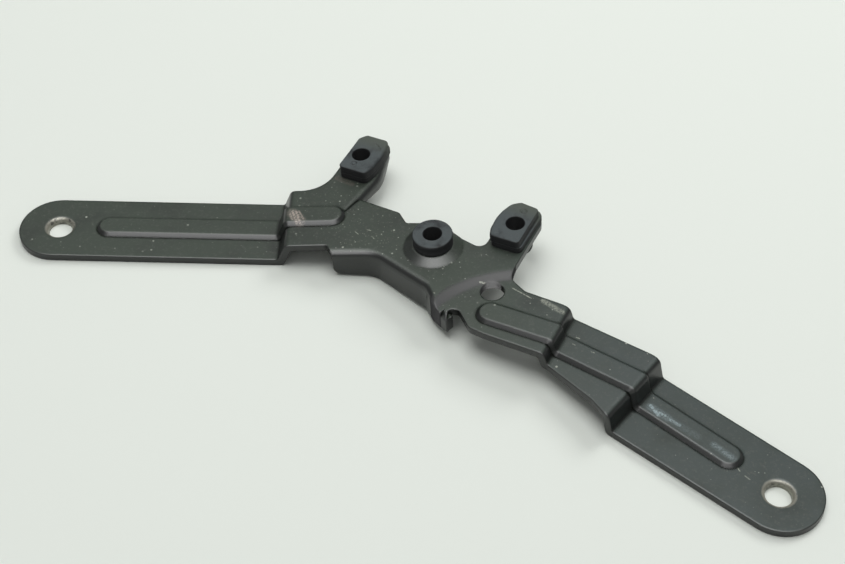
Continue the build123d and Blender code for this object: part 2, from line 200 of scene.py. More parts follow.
@dataclass(frozen=True)
class DeckFrame:
    """The raised middle of the bracket, which leans so that it rises towards +X.

    Attributes:
        centre_mm: The centre grommet's axis on the deck's top face.
        lean_deg: How far the deck leans.
    """

    centre_mm: tuple[float, float, float] = (112.0, -13.1, 11.2)
    lean_deg: float = 4.0

    def placed(self, points: np.ndarray, plan: tuple[float, float], turn_deg: float) -> np.ndarray:
        """Moves points from a mount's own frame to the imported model's frame, in metres.

        The points are turned about the mount's axis, moved to its place on the deck, leaned with the deck
        about the Y axis and moved with it.

        Args:
            points: Points in millimetres, with the last axis of length 3.
            plan: The mount's place on the deck.
            turn_deg: The mount's heading on the deck.

        Returns:
            The points in metres.
        """
        turn = math.radians(turn_deg)
        lean = math.radians(self.lean_deg)
        x = points[..., 0] * math.cos(turn) - points[..., 1] * math.sin(turn) + plan[0]
        y = points[..., 0] * math.sin(turn) + points[..., 1] * math.cos(turn) + plan[1]
        z = points[..., 2]
        leaned_x = x * math.cos(lean) - z * math.sin(lean)
        leaned_z = x * math.sin(lean) + z * math.cos(lean)
        return (np.stack([leaned_x, y, leaned_z], axis=-1) + np.array(self.centre_mm)) * MM


DECK = DeckFrame()


def ring_mesh(name: str, points: np.ndarray) -> bpy.types.Object:
    """Makes a closed ring-like piece from a grid that closes on itself both ways.

    Each grid cell is one four-sided face. The faces are turned round when the volume that they enclose is
    negative. It has the sign of the sum of each face's centre times its normal.

    Args:
        name: The piece's name.
        points: Grid of points in metres, of shape (around the section, around the axis, 3).

    Returns:
        The piece, smooth shaded.
    """
    rows, columns = points.shape[:2]
    index = np.arange(rows * columns).reshape(rows, columns)
    right = np.roll(index, -1, axis=1)
    corners = [index, right, np.roll(right, -1, axis=0), np.roll(index, -1, axis=0)]
    quads = np.stack(corners, axis=-1).reshape(-1, 4)
    flat = points.reshape(-1, 3)
    a, b, c, d = (flat[quads[:, i]] for i in range(4))
    if np.sum((a + b + c + d) * np.cross(c - a, d - b)) < 0.0:
        quads = quads[:, ::-1]
    mesh = bpy.data.meshes.new(name)
    mesh.from_pydata(flat.tolist(), [], quads.tolist())
    mesh.validate()
    mesh.shade_smooth()
    piece = bpy.data.objects.new(name, mesh)
    bpy.context.scene.collection.objects.link(piece)
    return piece


def outline_radius(corners: np.ndarray, rounds: np.ndarray, angles: np.ndarray) -> np.ndarray:
    """Distance from the axis to a rounded outline, at each angle about the axis.

    Each corner is cut off by an arc that touches both of its sides. The arc starts away from the corner by
    the rounding radius over the tangent of half the corner's angle. The loop of arcs is filled with points
    along its straight sides, and its distance is read off by angle.

    Args:
        corners: Corner points in order round the axis, of shape (n, 2).
        rounds: Rounding radius of each corner.
        angles: Angles in radians.

    Returns:
        The distance at each angle.
    """
    before = np.roll(corners, 1, axis=0) - corners
    after = np.roll(corners, -1, axis=0) - corners
    before /= np.linalg.norm(before, axis=1, keepdims=True)
    after /= np.linalg.norm(after, axis=1, keepdims=True)
    half = 0.5 * np.arccos(np.clip(np.sum(before * after, axis=1), -1.0, 1.0))
    reach = (rounds / np.tan(half))[:, None]
    share = np.linspace(0.0, 1.0, 12)[None, :, None]
    start = (corners + before * reach)[:, None, :]
    end = (corners + after * reach)[:, None, :]
    middle = corners[:, None, :]
    weight = np.sin(half)[:, None, None]
    low, mid, high = (1 - share) ** 2, 2 * share * (1 - share) * weight, share**2
    arcs = (low * start + mid * middle + high * end) / (low + mid + high)
    loop = arcs.reshape(-1, 2)
    loop = np.vstack([loop, loop[:1]])
    steps = np.linalg.norm(np.diff(loop, axis=0), axis=1)
    length = np.concatenate([[0.0], np.cumsum(steps)])
    even = np.linspace(0.0, length[-1], 4000, endpoint=False)
    x = np.interp(even, length, loop[:, 0])
    y = np.interp(even, length, loop[:, 1])
    turn = np.arctan2(y, x)
    order = np.argsort(turn)
    return np.interp(angles, turn[order], np.hypot(x, y)[order], period=2 * math.pi)


def quarter(count: int) -> tuple[np.ndarray, np.ndarray]:
    """Shares of a quarter round: how far it has gone across, and how far down, both from 0 to 1."""
    angle = np.linspace(0.0, 0.5 * math.pi, count + 1)[1:]
    return np.sin(angle), 1.0 - np.cos(angle)


@dataclass(frozen=True)
class MouldMark:
    """Sunk mark on a mount's top face: a ring, or a line when its ends differ.

    Attributes:
        start_mm: Centre of the ring or start of the line, in the mount's own plan.
        end_mm: The same point for a ring, or the line's other end.
        radius_mm: Radius of the ring, and 0 for a line.
        width_mm: Width of the mark's section.
        depth_mm: How far it sinks.
    """

    start_mm: tuple[float, float]
    end_mm: tuple[float, float]
    radius_mm: float
    width_mm: float
    depth_mm: float

    def rise(self, x: np.ndarray, y: np.ndarray) -> np.ndarray:
        """Height of the mark at plan points, which is negative.

        The distance to the line between its ends, less the radius, gives a bell curve across the width.

        Args:
            x: Plan places along the mount.
            y: Plan places across the mount.

        Returns:
            The height in millimetres at each point.
        """
        start, end = np.array(self.start_mm), np.array(self.end_mm)
        run = end - start
        length = max(float(run @ run), 1e-9)
        share = np.clip(((x - start[0]) * run[0] + (y - start[1]) * run[1]) / length, 0.0, 1.0)
        away = np.hypot(x - start[0] - share * run[0], y - start[1] - share * run[1]) - self.radius_mm
        return -self.depth_mm * np.exp(-((2.0 * away / self.width_mm) ** 2))


@dataclass(frozen=True)
class EarPad:
    """Eared rubber pad: two tiers over the deck, a neck through its hole and a foot below it.

    Attributes:
        node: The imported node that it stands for.
        plan_mm: Place of its bore on the deck.
        top_mm: Corners of the upper tier, along and across the ear, counterclockwise.
        top_rounds_mm: Rounding of each of those corners.
        skirt_mm: Corners of the lower tier.
        skirt_rounds_mm: Rounding of each of those corners.
        mirrored: Whether the pad is the mirror image, with its bulge on the left.
        marks: Sunk marks on its top face.
        edge_mm: Round of the upper tier's rim.
        slope_mm: The same round where the side bulges.
        lip_mm: Round at the top of the bore.
        groove_mm: Depth of the groove between the tiers.
        small_edge_mm: Round of the lower tier and of the foot.
        under_edge_mm: Chamfer under the lower tier.
    """

    node: str
    plan_mm: tuple[float, float]
    top_mm: tuple[tuple[float, float], ...]
    top_rounds_mm: tuple[float, ...]
    skirt_mm: tuple[tuple[float, float], ...]
    skirt_rounds_mm: tuple[float, ...]
    mirrored: bool
    marks: tuple[MouldMark, ...] = ()
    heading_deg: float = 65.0
    height_mm: float = 4.8
    ledge_mm: float = 2.0
    sheet_mm: float = 2.3
    bore_mm: float = 2.7
    neck_mm: float = 3.6
    foot_mm: float = 4.9
    foot_height_mm: float = 2.0
    foot_flat_mm: float = 3.2
    edge_mm: float = 0.45
    slope_mm: float = 1.15
    lip_mm: float = 0.35
    groove_mm: float = 0.35
    small_edge_mm: float = 0.3
    under_edge_mm: float = 0.15
    around: int = 360

    def surface(self) -> np.ndarray:
        """Works out the pad's closed surface.

        Around the axis runs the angle, and along the section run the stations: up the bore, over its rounded
        lip, out across the top face, down the rounded rim and the upper side, in at the groove between the
        tiers, down the lower side, in under the pad to the neck, down the neck and round the foot back to the
        bore. Each station has a distance from the axis and a height for every angle. The rim is a quarter
        round of edge_mm that grows to slope_mm where the side faces the bulge.

        Returns:
            Grid of points in metres.
        """
        angle = np.linspace(0.0, 2 * math.pi, self.around, endpoint=False)
        top = outline_radius(np.array(self.top_mm), np.array(self.top_rounds_mm), angle)
        skirt = outline_radius(np.array(self.skirt_mm), np.array(self.skirt_rounds_mm), angle)
        bulge = np.clip((-np.sin(angle) - 0.45) / 0.35, 0.0, 1.0)
        rim = self.edge_mm + (self.slope_mm - self.edge_mm) * bulge * bulge * (3 - 2 * bulge)
        foot = np.minimum(self.foot_mm, self.foot_flat_mm / np.maximum(-np.sin(angle), 1e-6))
        foot = np.where(np.sin(angle) < 0, foot, self.foot_mm)
        even = np.ones_like(angle)
        base = -self.sheet_mm
        sole = base - self.foot_height_mm
        lip, edge, under = self.lip_mm, self.small_edge_mm, self.under_edge_mm
        across, down = quarter(7)
        stations: list[tuple[np.ndarray, np.ndarray]] = []

        def add(radius: np.ndarray, height: np.ndarray | float) -> None:
            """Adds a station: a distance from the axis and a height for every angle."""
            stations.append((radius * even, height * even))

        for share in np.linspace(0.0, 1.0, 12):
            add(self.bore_mm * even, sole + (self.height_mm - lip - sole) * share)
        for a, d in zip(down, across):
            add((self.bore_mm + lip * a) * even, self.height_mm - lip + lip * d)
        inner = self.bore_mm + lip
        for share in np.linspace(0.0, 1.0, 52)[1:]:
            add(inner + (top - rim - inner) * share, self.height_mm)
        for a, d in zip(across, down):
            add(top - rim + rim * a, self.height_mm - rim * d)
        for share in np.linspace(0.0, 1.0, 7)[1:]:
            low = self.ledge_mm + 0.25
            add(top, (self.height_mm - rim) + (low - self.height_mm + rim) * share)
        groove = np.minimum(top, skirt) - self.groove_mm
        add(top - 0.12, self.ledge_mm + 0.08)
        add(groove, self.ledge_mm)
        for a, d in zip(across, down):
            add(skirt - edge + edge * a, self.ledge_mm - 0.02 - edge * d)
        for share in np.linspace(0.0, 1.0, 6)[1:]:
            add(skirt, self.ledge_mm - 0.32 + (under - self.ledge_mm + 0.32) * share)
        add(skirt - under, 0.0)
        for share in (0.66, 0.33, 0.0):
            add(self.neck_mm + (skirt - under - self.neck_mm) * share, 0.0)
        for share in (0.33, 0.66, 1.0):
            add(self.neck_mm * even, base * share)
        for share in (0.5, 0.85):
            add(self.neck_mm + (foot - self.neck_mm) * share, base)
        for a, d in zip(across[1::2], down[1::2]):
            add(foot - edge + edge * a, base - edge * d)
        for share in (0.4, 0.8):
            add(foot, base - edge + (edge - self.foot_height_mm + edge) * share)
        for a, d in zip(down[1::2], across[1::2]):
            add(foot - edge * a, sole + edge - edge * d)
        for share in (0.66, 0.33):
            add(self.bore_mm + (foot - edge - self.bore_mm) * share, sole)
        radius = np.array([station[0] for station in stations])
        z = np.array([station[1] for station in stations])
        x = radius * np.cos(angle)
        y = radius * np.sin(angle)
        on_top = np.clip((z - self.height_mm + 0.05) / 0.05, 0.0, 1.0)
        z = z + on_top * sum((mark.rise(x, y) for mark in self.marks), np.zeros_like(x))
        side = -1.0 if self.mirrored else 1.0
        return DECK.placed(np.stack([x, y * side, z], axis=-1), self.plan_mm, self.heading_deg)

    def build(self, material: bpy.types.Material) -> bpy.types.Object:
        """Makes the pad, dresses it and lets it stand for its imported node.

        Args:
            material: The pad's rubber.

        Returns:
            The piece.
        """
        piece = ring_mesh(self.node + "_moulded", self.surface())
        piece.data.materials.append(material)
        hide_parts(self.node)
        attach(piece, "root")
        return piece


@dataclass(frozen=True)
class CentreGrommet:
    """Round rubber grommet on the pressed ring: a head over it, a neck through it and a foot below it."""

    node: str = "centre_grommet"
    ring_mm: float = 1.5
    sheet_mm: float = 2.3
    head_mm: float = 3.8
    radius_mm: float = 5.85
    bore_mm: float = 2.7
    neck_mm: float = 4.1
    foot_mm: float = 5.0
    foot_height_mm: float = 2.2
    edge_mm: float = 0.6
    lip_mm: float = 0.35
    foot_edge_mm: float = 0.3
    around: int = 288

    def surface(self) -> np.ndarray:
        """Works out the grommet's closed surface.

        A section is turned about the axis: up the bore, over its lip, across the top, round the edge, down
        the side, in to the neck, down it and round the foot. The top is dished by a tenth of a millimetre,
        and the side draws in by twice as much halfway down.

        Returns:
            Grid of points in metres.
        """
        top = self.ring_mm + self.head_mm
        under = self.ring_mm - self.sheet_mm
        sole = under - self.foot_height_mm
        lip, edge = self.lip_mm, self.foot_edge_mm
        across, down = quarter(6)
        line: list[tuple[float, float]] = []
        line += [(self.bore_mm, sole + (top - lip - sole) * share) for share in np.linspace(0.0, 1.0, 12)]
        line += [(self.bore_mm + lip * a, top - lip + lip * d) for a, d in zip(down, across)]
        inner, outer = self.bore_mm + lip, self.radius_mm - self.edge_mm
        for share in np.linspace(0.0, 1.0, 14)[1:]:
            line.append((inner + (outer - inner) * share, top - 0.1 * math.sin(math.pi * share)))
        line += [(outer + self.edge_mm * a, top - self.edge_mm * d) for a, d in zip(across, down)]
        for share in np.linspace(0.0, 1.0, 9)[1:]:
            height = top - self.edge_mm - (self.head_mm - self.edge_mm - 0.25) * share
            line.append((self.radius_mm - 0.1 + 0.1 * math.cos(2 * math.pi * share), height))
        line += [(self.radius_mm - 0.25, self.ring_mm), (self.neck_mm, self.ring_mm)]
        line += [(self.neck_mm, under), (self.foot_mm - edge, under)]
        line += [(self.foot_mm - edge + edge * a, under - edge * d) for a, d in zip(across, down)]
        line += [(self.foot_mm, sole + edge)]
        line += [(self.foot_mm - edge * a, sole + edge - edge * d) for a, d in zip(down, across)]
        line += [(0.5 * (self.bore_mm + self.foot_mm), sole)]
        section = np.array(line)
        angle = np.linspace(0.0, 2 * math.pi, self.around, endpoint=False)
        x = section[:, :1] * np.cos(angle)[None, :]
        y = section[:, :1] * np.sin(angle)[None, :]
        z = np.repeat(section[:, 1:], self.around, axis=1)
        return DECK.placed(np.stack([x, y, z], axis=-1), (0.0, 0.0), 0.0)

    def build(self, material: bpy.types.Material) -> bpy.types.Object:
        """Makes the grommet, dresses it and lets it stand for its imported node.

        Args:
            material: The grommet's rubber.

        Returns:
            The piece.
        """
        piece = ring_mesh("centre_grommet_moulded", self.surface())
        piece.data.materials.append(material)
        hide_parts(self.node)
        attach(piece, "root")
        return piece


@dataclass(frozen=True)
class PressedSheet:
    """The pressed steel sheet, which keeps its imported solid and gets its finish."""

    node: str = "bracket"

    def build(self, material: bpy.types.Material) -> bpy.types.Object:
        """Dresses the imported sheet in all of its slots.

        Args:
            material: The sheet's paint.

        Returns:
            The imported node's object.
        """
        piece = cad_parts[self.node]
        if not piece.material_slots:
            piece.data.materials.append(material)
        for slot in piece.material_slots:
            slot.material = material
        return piece


@dataclass(frozen=True)
class Rub:
    """One rubbed or scratched place on the sheet, or a painted shadow line, as a stroke between two plan
    points.

    Attributes:
        start_mm: Where the stroke starts.
        end_mm: Where it ends.
        width_mm: Its width.
        colour: Colour of what shows there.
        strength: How much of it shows, from 0 to 1.
    """

    start_mm: tuple[float, float]
    end_mm: tuple[float, float]
    width_mm: float
    colour: str
    strength: float


PINK_SCUFF = "#a89c92"
PALE_CHIP = "#b4b8a8"
COOL_SCUFF = "#8fa0a3"
BROWN_DUST = "#5a5048"
# Painted shadow: dark line along the curved step, where the step shuts off the light.
CREASE_SHADOW_LINE = "#080a08"

# Places of the marks in the plan, read off the photograph.
RUBS: tuple[Rub, ...] = (
    Rub((70.0, 1.0), (72.6, -2.2), 4.6, PINK_SCUFF, 0.35),
    Rub((69.3, 0.9), (70.2, -1.8), 0.9, PINK_SCUFF, 0.6),
    Rub((70.0, 1.7), (71.6, -2.9), 1.0, PINK_SCUFF, 0.8),
    Rub((71.1, 1.5), (72.7, -3.2), 1.0, PINK_SCUFF, 0.8),
    Rub((71.9, 1.7), (73.4, -1.7), 0.8, PINK_SCUFF, 0.6),
    Rub((125.4, -26.2), (129.9, -26.4), 0.6, PALE_CHIP, 0.75),
    Rub((134.7, -28.0), (139.7, -31.9), 0.5, PALE_CHIP, 0.6),
    Rub((143.0, -33.0), (148.1, -37.3), 2.2, PALE_CHIP, 0.45),
    Rub((152.0, -43.2), (152.9, -43.7), 0.4, PALE_CHIP, 0.7),
    Rub((150.9, -46.6), (151.5, -47.0), 0.4, PALE_CHIP, 0.6),
    Rub((155.8, -49.5), (156.5, -49.9), 0.4, PALE_CHIP, 0.6),
    Rub((171.4, -63.0), (173.2, -66.3), 1.2, COOL_SCUFF, 0.9),
    Rub((172.8, -64.9), (175.0, -66.3), 1.1, COOL_SCUFF, 0.85),
    Rub((176.4, -67.7), (178.5, -69.3), 1.4, COOL_SCUFF, 0.6),
    Rub((171.4, -63.5), (175.5, -67.0), 3.4, COOL_SCUFF, 0.3),
    Rub((176.0, -67.5), (183.0, -73.0), 3.2, COOL_SCUFF, 0.12),
    Rub((187.0, -75.5), (191.5, -79.6), 3.0, COOL_SCUFF, 0.2),
    Rub((187.0, -75.4), (188.4, -76.5), 1.6, COOL_SCUFF, 0.25),
    Rub((189.4, -77.9), (191.1, -79.4), 1.7, COOL_SCUFF, 0.3),
    Rub((192.7, -81.9), (193.1, -82.8), 0.5, PALE_CHIP, 0.7),
    Rub((194.3, -84.3), (195.4, -85.4), 0.5, PALE_CHIP, 0.35),
    Rub((196.0, -99.2), (197.4, -100.2), 0.5, PALE_CHIP, 0.6),
    Rub((112.4, -30.8), (112.8, -31.2), 0.4, PALE_CHIP, 0.7),
    Rub((89.0, -6.3), (90.1, -7.5), 0.35, PALE_CHIP, 0.6),
    Rub((92.5, -5.7), (93.6, -6.1), 0.35, PALE_CHIP, 0.6),
    Rub((94.0, -8.4), (94.7, -9.4), 0.35, PALE_CHIP, 0.5),
    Rub((82.1, 16.7), (86.8, 13.8), 2.6, BROWN_DUST, 0.5),
    # Painted shadow line along the curved step.
    Rub((111.0, -36.6), (112.2, -33.9), 1.0, CREASE_SHADOW_LINE, 0.8),
    Rub((112.2, -33.9), (114.3, -31.3), 0.9, CREASE_SHADOW_LINE, 0.9),
    Rub((114.3, -31.3), (116.5, -29.1), 0.9, CREASE_SHADOW_LINE, 0.9),
    Rub((116.5, -29.1), (119.8, -27.5), 0.8, CREASE_SHADOW_LINE, 0.8),
    Rub((119.8, -27.5), (123.2, -26.3), 0.7, CREASE_SHADOW_LINE, 0.6),
)


@dataclass(frozen=True)
class SatinBlackEnamel:
    """Satin black stove enamel, sprayed on pressed mild steel and then dulled by dust.

    The paint film is a dark dielectric with a soft sheen, so faces that tilt towards the light look grey and
    the rolled edges glint. Dust greys the faces that look up. It is a little green, and bluer towards the
    right arm. Pale specks and rubs lie on it. Round both bolt holes it is worn down to bare steel. Shade is
    painted into the creases, which are darker and have no sheen, and a painted shadow line runs along the
    curved step.

    Attributes:
        edge_mm: Radius that the shading gives the sheet's edges.
        cool_from_mm: Where along X the bluer dust begins. It is full at cool_to_mm.
        speck_layers: Cell width in millimetres, share of cells and brightness of each layer of specks.
        speckled_mm: Middle of the specks in the plan.
        cloud_mm, powder_mm, ragged_mm, worn_mm: Sizes of the patches of noise.
        crease_mm: How near the sheet has to shut off the light for the painted crease shade to show.
        step_centre_mm: Centre of the curved step in the plan. step_band_mm holds its two radii.
        step_softness: How strongly the step's shading is turned towards the deck's.
        bare_from_mm: Radius of the bare ring round a bolt hole. It has faded out at bare_to_mm.
    """

    edge_mm: float = 0.8
    paint: str = "#0f1311"
    dusty: str = "#233023"
    cool: str = "#273330"
    cool_from_mm: float = 120.0
    cool_to_mm: float = 170.0
    powder: str = "#4b4e47"
    speck: str = "#a8aca0"
    speck_layers: tuple[tuple[float, float, float], ...] = (
        (0.9, 0.75, 0.45),
        (1.5, 0.5, 0.65),
        (2.4, 0.35, 0.95),
    )
    speckled_mm: tuple[float, float] = (96.0, -8.0)
    cloud_mm: float = 14.0
    powder_mm: float = 0.9
    ragged_mm: float = 0.5
    worn_mm: float = 1.6
    crease_mm: float = 1.0
    gloss: float = 0.7
    bare: str = "#8b8a7f"
    roughness: float = 0.33
    # Painted shade in the creases: how rough they get and the darker colour painted there.
    crease_shade_roughness: float = 0.8
    crease_shade_colour: str = "#1c1f1b"
    step_centre_mm: tuple[float, float] = (135.3, -53.8)
    step_band_mm: tuple[float, float] = (26.6, 32.6)
    step_softness: float = 4.0
    step_end_mm: float = 145.0
    holes_mm: tuple[tuple[float, float], ...] = ((0.0, 0.0), (202.35, -89.42))
    bare_from_mm: float = 3.9
    bare_to_mm: float = 4.6
    rubs: tuple[Rub, ...] = RUBS

    def stroke(self, tree: Tree, plan: Socket, ragged: Socket, rub: Rub) -> Socket:
        """Mask of one rubbed place or painted shadow line.

        The nearest point of the stroke is its start plus its heading times the run along it, held between 0
        and the stroke's length. The mask falls off with the distance from that point and noise breaks it up.

        Args:
            tree: The material's node tree.
            plan: The point's place in the plan.
            ragged: Noise that breaks the stroke up.
            rub: The rubbed place.

        Returns:
            The mask's socket.
        """
        start = np.array(rub.start_mm) * MM
        run = np.array(rub.end_mm) * MM - start
        length = float(np.linalg.norm(run))
        heading = (float(run[0] / length), float(run[1] / length), 0.0)
        origin = (float(start[0]), float(start[1]), 0.0)
        kind = "ShaderNodeVectorMath"
        away = add_node(tree, kind, {1: origin}, {0: plan}, operation="SUBTRACT").outputs["Vector"]
        along = add_node(tree, kind, {1: heading}, {0: away}, operation="DOT_PRODUCT").outputs["Value"]
        held = add_node(tree, "ShaderNodeClamp", {"Min": 0.0, "Max": length}, {"Value": along})
        near = add_node(tree, kind, {0: heading}, {"Scale": held.outputs["Result"]}, operation="SCALE")
        ends = {0: away, 1: near.outputs["Vector"]}
        gap = add_node(tree, kind, None, ends, operation="DISTANCE").outputs["Value"]
        half = 0.5 * rub.width_mm * MM
        return product(tree, ramp(tree, gap, half, 0.35 * half, rub.strength), ragged)

    def bare_rings(self, tree: Tree, plan: Socket, wobble: Socket) -> Socket:
        """Mask of the worn rings round the bolt holes.

        It is 1 where the distance to a hole's axis, moved in and out by noise, is under the ring's radius.

        Args:
            tree: The material's node tree.
            plan: The point's place in the plan.
            wobble: Noise that makes the ring's edge uneven.

        Returns:
            The mask's socket.
        """
        rings: Socket | None = None
        for x, y in self.holes_mm:
            centre = (x * MM, y * MM, 0.0)
            gap = add_node(tree, "ShaderNodeVectorMath", {1: centre}, {0: plan}, operation="DISTANCE")
            moved = add_node(
                tree,
                "ShaderNodeMath",
                {1: 1.6 * MM, 2: 0.0},
                {0: wobble, 2: gap.outputs["Value"]},
                operation="MULTIPLY_ADD",
            ).outputs["Value"]
            ring = ramp(tree, moved, (self.bare_to_mm + 0.8) * MM, (self.bare_from_mm + 0.8) * MM)
            rings = ring if rings is None else largest(tree, rings, ring)
        return rings

    def step_band(self, tree: Tree, plan: Socket, band_mm: tuple[float, float], top: float) -> Socket:
        """Mask of a band along the curved step, between two circles about one centre in the plan.

        The circles cross the sheet again further right, so the mask ends at step_end_mm along X.

        Args:
            tree: The material's node tree.
            plan: The point's place in the plan.
            band_mm: Radii of the two circles.
            top: The mask's value in the middle of the band.

        Returns:
            The mask's socket.
        """
        centre = (self.step_centre_mm[0] * MM, self.step_centre_mm[1] * MM, 0.0)
        apart = add_node(tree, "ShaderNodeVectorMath", {1: centre}, {0: plan}, operation="DISTANCE")
        gap = apart.outputs["Value"]
        inner, outer = band_mm[0] * MM, band_mm[1] * MM
        soft = 0.3 * (outer - inner)
        rise = ramp(tree, gap, inner, inner + soft, top)
        band = product(tree, rise, ramp(tree, gap, outer, outer - soft))
        across = add_node(tree, "ShaderNodeSeparateXYZ", None, {"Vector": plan}).outputs["X"]
        return product(tree, band, ramp(tree, across, self.step_end_mm * MM, (self.step_end_mm - 3.0) * MM))

    def softened(self, tree: Tree, plan: Socket, normal: Socket) -> Socket:
        """Turns the normals of the curved step towards the deck's, because the real step looks softer.

        The deck's normal, times a mask of the step, is added to the normal and the sum is made of unit
        length. The mask is one of the plan, so it turns the underside's normals too.

        Args:
            tree: The material's node tree.
            plan: The point's place in the plan.
            normal: The sheet's normal.

        Returns:
            The turned normal's socket.
        """
        lean = math.radians(DECK.lean_deg)
        deck = (-math.sin(lean), 0.0, math.cos(lean))
        kind = "ShaderNodeVectorMath"
        band = self.step_band(tree, plan, self.step_band_mm, self.step_softness)
        extra = add_node(tree, kind, {0: deck}, {"Scale": band}, operation="SCALE").outputs["Vector"]
        total = add_node(tree, kind, None, {0: normal, 1: extra}, operation="ADD").outputs["Vector"]
        return add_node(tree, kind, None, {0: total}, operation="NORMALIZE").outputs["Vector"]

    def painted_crease_shade(self, tree: Tree, normal: Socket) -> Socket:
        """Mask of the painted shade in the creases, which also dulls them.

        A crease is where the light from around is shut off within crease_mm. Faces that tilt towards +Y are
        left out, because the far sides of the beads show no dark line.

        Args:
            tree: The material's node tree.
            normal: The sheet's normal.

        Returns:
            The mask's socket.
        """
        settings = {"Distance": self.crease_mm * MM}
        shut = add_node(tree, "ShaderNodeAmbientOcclusion", settings, samples=8, only_local=True)
        tilt = add_node(tree, "ShaderNodeSeparateXYZ", None, {"Vector": normal}).outputs["Y"]
        closed = ramp(tree, shut.outputs["AO"], 0.97, 0.85)
        return product(tree, closed, ramp(tree, tilt, 0.04, -0.03))

    def specks(
        self,
        tree: Tree,
        place: Socket,
        plan: Socket,
        cell_mm: float,
        share: float,
        shade: float,
    ) -> Socket:
        """Mask of pale specks of dust, thick on the deck and thin on the arms.

        Each cell of a cell pattern has one speck at its centre when the cell's own random number is over a
        limit, and the limit is lower near the middle of the deck. A second random number is its brightness.

        Args:
            tree: The material's node tree.
            place: The point in space.
            plan: The point's place in the plan.
            cell_mm: Width of a cell. A speck is about a quarter of it across, at half its brightness.
            share: Share of the cells with a speck in the middle of the deck.
            shade: Brightness of the brightest speck.

        Returns:
            The mask's socket.
        """
        scale = {"Scale": 1.0 / (cell_mm * MM)}
        cells = add_node(tree, "ShaderNodeTexVoronoi", scale, {"Vector": place})
        dot = ramp(tree, cells.outputs["Distance"], 0.19, 0.06)
        channel = add_node(tree, "ShaderNodeSeparateColor", None, {"Color": cells.outputs["Color"]})
        middle = (self.speckled_mm[0] * MM, self.speckled_mm[1] * MM, 0.0)
        gap = add_node(tree, "ShaderNodeVectorMath", {1: middle}, {0: plan}, operation="DISTANCE")
        limit = add_node(
            tree,
            "ShaderNodeMapRange",
            {
                "From Min": 6.0 * MM,
                "From Max": 45.0 * MM,
                "To Min": 1.0 - share,
                "To Max": 1.0 - 0.15 * share,
            },
            {"Value": gap.outputs["Value"]},
        ).outputs["Result"]
        lucky = add_node(
            tree,
            "ShaderNodeMath",
            None,
            {0: channel.outputs["Red"], 1: limit},
            operation="GREATER_THAN",
        ).outputs["Value"]
        bright = ramp(tree, channel.outputs["Green"], -0.3, 1.0, shade)
        return product(tree, product(tree, dot, lucky), bright)

    def material(self) -> bpy.types.Material:
        """Builds the enamel's node material.

        Returns:
            The material.
        """
        made, tree, shader = new_material("satin_black_stove_enamel")
        place = add_node(tree, "ShaderNodeTexCoord").outputs["Object"]
        plan = add_node(
            tree,
            "ShaderNodeVectorMath",
            {1: (1.0, 1.0, 0.0)},
            {0: place},
            operation="MULTIPLY",
        ).outputs["Vector"]
        bevel = add_node(tree, "ShaderNodeBevel", {"Radius": self.edge_mm * MM}, samples=8)
        rolled = bevel.outputs["Normal"]
        upward = add_node(tree, "ShaderNodeSeparateXYZ", None, {"Vector": rolled}).outputs["Z"]
        facing_up = ramp(tree, upward, 0.75, 1.0)
        cloud = grain(tree, place, self.cloud_mm, 4.0, 0.6)
        film = product(tree, facing_up, ramp(tree, cloud, 0.0, 0.62))
        powder = grain(tree, place, self.powder_mm, 3.0, 0.7)
        ragged = ramp(tree, grain(tree, place, self.ragged_mm, 3.0, 0.7), 0.3, 0.62)

        base = add_node(tree, "ShaderNodeMix", None, None, data_type="RGBA")
        tree.links.new(film, base.inputs["Factor"])
        base.inputs["A"].default_value = linear(self.paint)
        base.inputs["B"].default_value = linear(self.dusty)
        across = add_node(tree, "ShaderNodeSeparateXYZ", None, {"Vector": place}).outputs["X"]
        cool = product(tree, film, ramp(tree, across, self.cool_from_mm * MM, self.cool_to_mm * MM))
        colour = tinted(tree, base.outputs["Result"], self.cool, cool)
        grey = product(tree, facing_up, ramp(tree, powder, 0.5, 0.8, 0.6))
        colour = tinted(tree, colour, self.powder, grey)
        for cell_mm, share, shade in self.speck_layers:
            dots = self.specks(tree, place, plan, cell_mm, share, shade)
            colour = tinted(tree, colour, self.speck, product(tree, facing_up, dots))
        upper = ramp(tree, upward, 0.0, 0.3)
        # Rubs, and the painted shadow line along the curved step.
        for rub in self.rubs:
            mask = product(tree, upper, self.stroke(tree, plan, ragged, rub))
            colour = tinted(tree, colour, rub.colour, mask)
        # Painted shade: the creases that ambient occlusion finds are painted darker.
        painted_crease_shade = self.painted_crease_shade(tree, rolled)
        colour = tinted(tree, colour, self.crease_shade_colour, ramp(tree, painted_crease_shade, 0.0, 1.0, 0.7))
        bare = self.bare_rings(tree, plan, cloud)
        bare = product(tree, bare, ramp(tree, grain(tree, place, self.worn_mm, 3.0, 0.6), 0.3, 0.5))
        colour = tinted(tree, colour, self.bare, bare)
        tree.links.new(colour, shader.inputs["Base Color"])

        metal = product(tree, bare, ramp(tree, powder, 0.0, 1.0, 0.8))
        tree.links.new(metal, shader.inputs["Metallic"])
        shader.inputs["Specular IOR Level"].default_value = self.gloss
